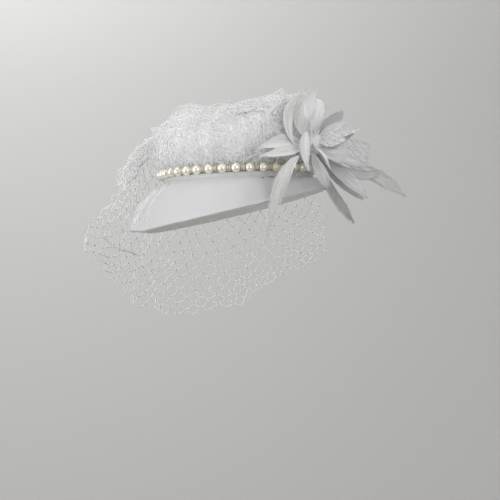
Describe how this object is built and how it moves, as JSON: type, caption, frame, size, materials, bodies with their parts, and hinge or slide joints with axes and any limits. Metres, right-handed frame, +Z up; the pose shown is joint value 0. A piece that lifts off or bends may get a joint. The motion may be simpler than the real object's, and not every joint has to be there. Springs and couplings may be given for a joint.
{
  "type": "fascinator",
  "caption": "Small satin pillbox fascinator with a pearl edge, a netting pouf and face veil, and a flower of feathers and petals, worn tilted over the left temple.",
  "frame": {"origin": "the middle of the rim, where the hat sits on the wearer's head", "axes": "+Z up as worn, -Y the way the wearer looks, +X the wearer's left; the hat's low end points 60 degrees from -Y towards +X and dips 13.4 degrees"},
  "size_m": [0.2057, 0.2024, 0.1545],
  "materials": {
    "satin": "white satin with a soft sheen",
    "pearl": "glossy ivory faux pearl",
    "netting": "stiff white veil netting",
    "feather": "matt white feather",
    "organza": "sheer white organza and lace, some with glitter",
    "comb_plastic": "white moulded plastic"
  },
  "bodies": {
    "root": {"side_band": "satin", "crown_tip": "satin", "hair_comb": "comb_plastic", "veil_pouf": "netting", "veil_drape": "netting", "flower_calyx": "feather", "pearl_string_1": "pearl", "pearl_string_2": "pearl", "pearl_string_3": "pearl", "pearl_string_4": "pearl", "feather_tall": "feather", "feather_hackle": "feather", "feather_side_upper": "feather", "feather_side_lower": "feather", "feather_hanging": "feather", "petal_upper": "organza", "petal_glitter": "organza", "petal_back_upper": "organza", "petal_lace": "organza", "petal_thin_middle": "organza", "petal_thin_low": "organza", "petal_broad": "organza", "petal_back_low": "organza", "petal_rim": "organza", "petal_narrow": "organza", "petal_front": "organza", "petal_sheer": "organza", "petal_far_upper": "organza", "petal_far_middle": "organza", "petal_far_low": "organza"}
  },
  "joints": []
}
